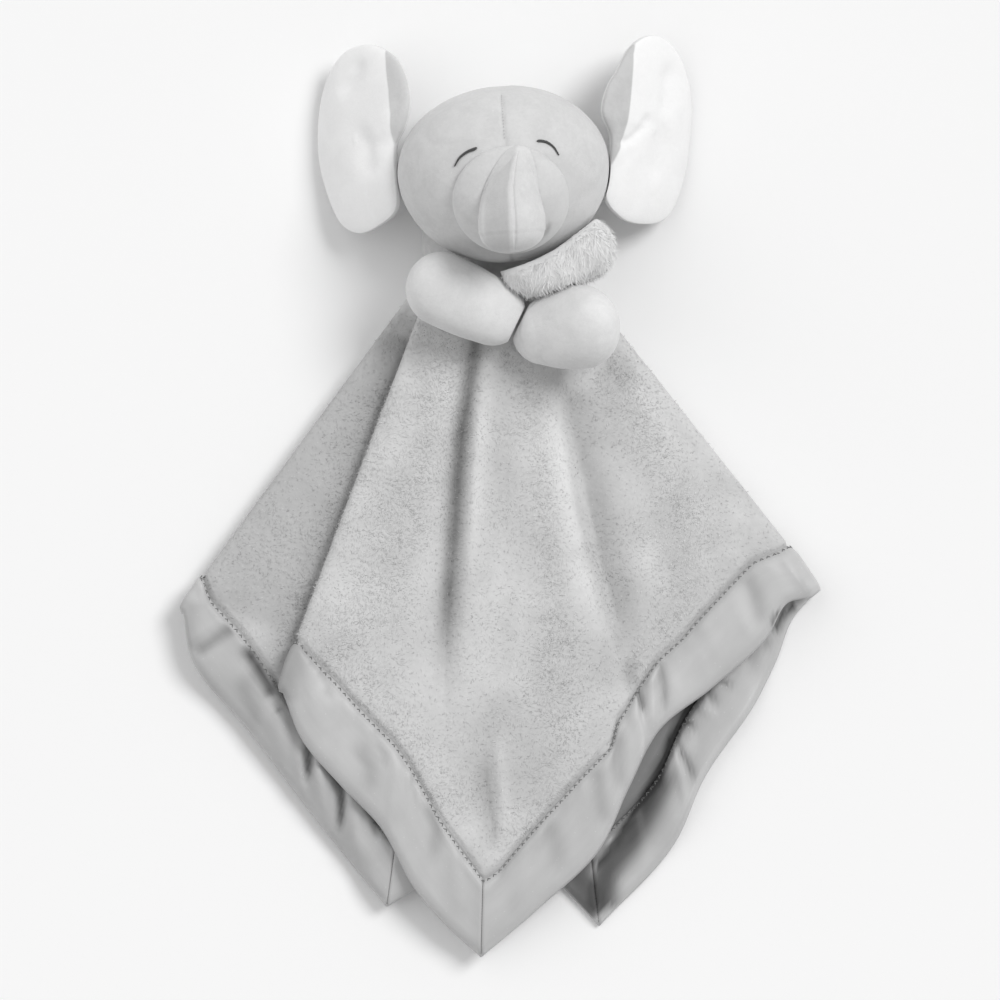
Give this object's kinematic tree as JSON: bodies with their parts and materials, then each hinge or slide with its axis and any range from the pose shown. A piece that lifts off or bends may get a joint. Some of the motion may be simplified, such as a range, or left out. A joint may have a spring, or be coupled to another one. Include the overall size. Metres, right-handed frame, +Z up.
{
  "type": "comfort blanket lovey",
  "caption": "Square plush blanket with a satin binding, folded flat below a stuffed elephant's head, with big padded ears, a short trunk and two arms that hug a fleece tuft.",
  "frame": {"origin": "centre of the overall box, at the surface that the toy lies on", "axes": "+Z up from the surface it lies on, +Y towards the crown of the head, +X to the viewer's right"},
  "size_m": [0.2902, 0.4155, 0.0936],
  "materials": {
    "blanket_plush": "coral fleece plush, light grey",
    "blanket_lining": "smooth lining, grey",
    "binding_front_left": "satin ribbon, grey",
    "binding_left_back": "satin ribbon, grey",
    "binding_back_right": "satin ribbon, grey",
    "binding_right_front": "satin ribbon, grey",
    "neck_core": "short-pile velour, light grey",
    "hugged_tuft": "coral fleece plush, light grey",
    "face_left": "short-pile velour, light grey",
    "face_right": "short-pile velour, light grey",
    "head_back": "short-pile velour, light grey",
    "head_stuffing": "polyester fibre filling, white",
    "muzzle": "short-pile velour, light grey",
    "eye_left": "embroidery thread, dark grey",
    "eye_right": "embroidery thread, dark grey",
    "trunk_left": "short-pile velour, light grey",
    "trunk_right": "short-pile velour, light grey",
    "trunk_stuffing": "polyester fibre filling, white",
    "ear_left_front": "short-pile velour, white",
    "ear_left_back": "short-pile velour, light grey",
    "ear_left_wadding": "polyester fibre filling, white",
    "ear_right_front": "short-pile velour, white",
    "ear_right_back": "short-pile velour, light grey",
    "ear_right_wadding": "polyester fibre filling, white",
    "arm_left_top": "short-pile velour, light grey",
    "arm_left_bottom": "short-pile velour, light grey",
    "arm_left_stuffing": "polyester fibre filling, white",
    "arm_right_top": "short-pile velour, light grey",
    "arm_right_bottom": "short-pile velour, light grey",
    "arm_right_stuffing": "polyester fibre filling, white"
  },
  "bodies": {
    "blanket": {"blanket_plush": "blanket_plush", "blanket_lining": "blanket_lining", "binding_front_left": "binding_front_left", "binding_left_back": "binding_left_back", "binding_back_right": "binding_back_right", "binding_right_front": "binding_right_front", "neck_core": "neck_core", "hugged_tuft": "hugged_tuft"},
    "head": {"face_left": "face_left", "face_right": "face_right", "head_back": "head_back", "head_stuffing": "head_stuffing", "muzzle": "muzzle", "eye_left": "eye_left", "eye_right": "eye_right"},
    "trunk": {"trunk_left": "trunk_left", "trunk_right": "trunk_right", "trunk_stuffing": "trunk_stuffing"},
    "ear_left": {"ear_left_front": "ear_left_front", "ear_left_back": "ear_left_back", "ear_left_wadding": "ear_left_wadding"},
    "ear_right": {"ear_right_front": "ear_right_front", "ear_right_back": "ear_right_back", "ear_right_wadding": "ear_right_wadding"},
    "arm_left": {"arm_left_top": "arm_left_top", "arm_left_bottom": "arm_left_bottom", "arm_left_stuffing": "arm_left_stuffing"},
    "arm_right": {"arm_right_top": "arm_right_top", "arm_right_bottom": "arm_right_bottom", "arm_right_stuffing": "arm_right_stuffing"}
  },
  "joints": [
    {"name": "head_turn", "type": "hinge", "parent": "blanket", "child": "head", "pos_m": [0.0007, 0.1485, 0.0385], "axis": [-0.0698, 0.9976, 0], "range_deg": [-25, 25], "stiffness_Nm_per_rad": 0.12},
    {"name": "trunk_lift", "type": "hinge", "parent": "head", "child": "trunk", "pos_m": [0.00202, 0.15681, 0.07651], "axis": [-0.9976, -0.0698, 0], "range_deg": [0, 45], "stiffness_Nm_per_rad": 0.02},
    {"name": "ear_left_flap", "type": "hinge", "parent": "head", "child": "ear_left", "pos_m": [-0.0476, 0.1622, 0.03666], "axis": [0, 1, 0], "range_deg": [-15, 30], "stiffness_Nm_per_rad": 0.06},
    {"name": "ear_right_flap", "type": "hinge", "parent": "head", "child": "ear_right", "pos_m": [0.04902, 0.16709, 0.03748], "axis": [-0.0523, -0.9986, 0], "range_deg": [-15, 30], "stiffness_Nm_per_rad": 0.06},
    {"name": "arm_left_open", "type": "hinge", "parent": "blanket", "child": "arm_left", "pos_m": [-0.027, 0.0946, 0.0418], "axis": [0, -1, 0], "range_deg": [0, 90], "stiffness_Nm_per_rad": 0.03},
    {"name": "arm_right_open", "type": "hinge", "parent": "blanket", "child": "arm_right", "pos_m": [0.0351, 0.0772, 0.0442], "axis": [0, 1, 0], "range_deg": [0, 90], "stiffness_Nm_per_rad": 0.03}
  ]
}
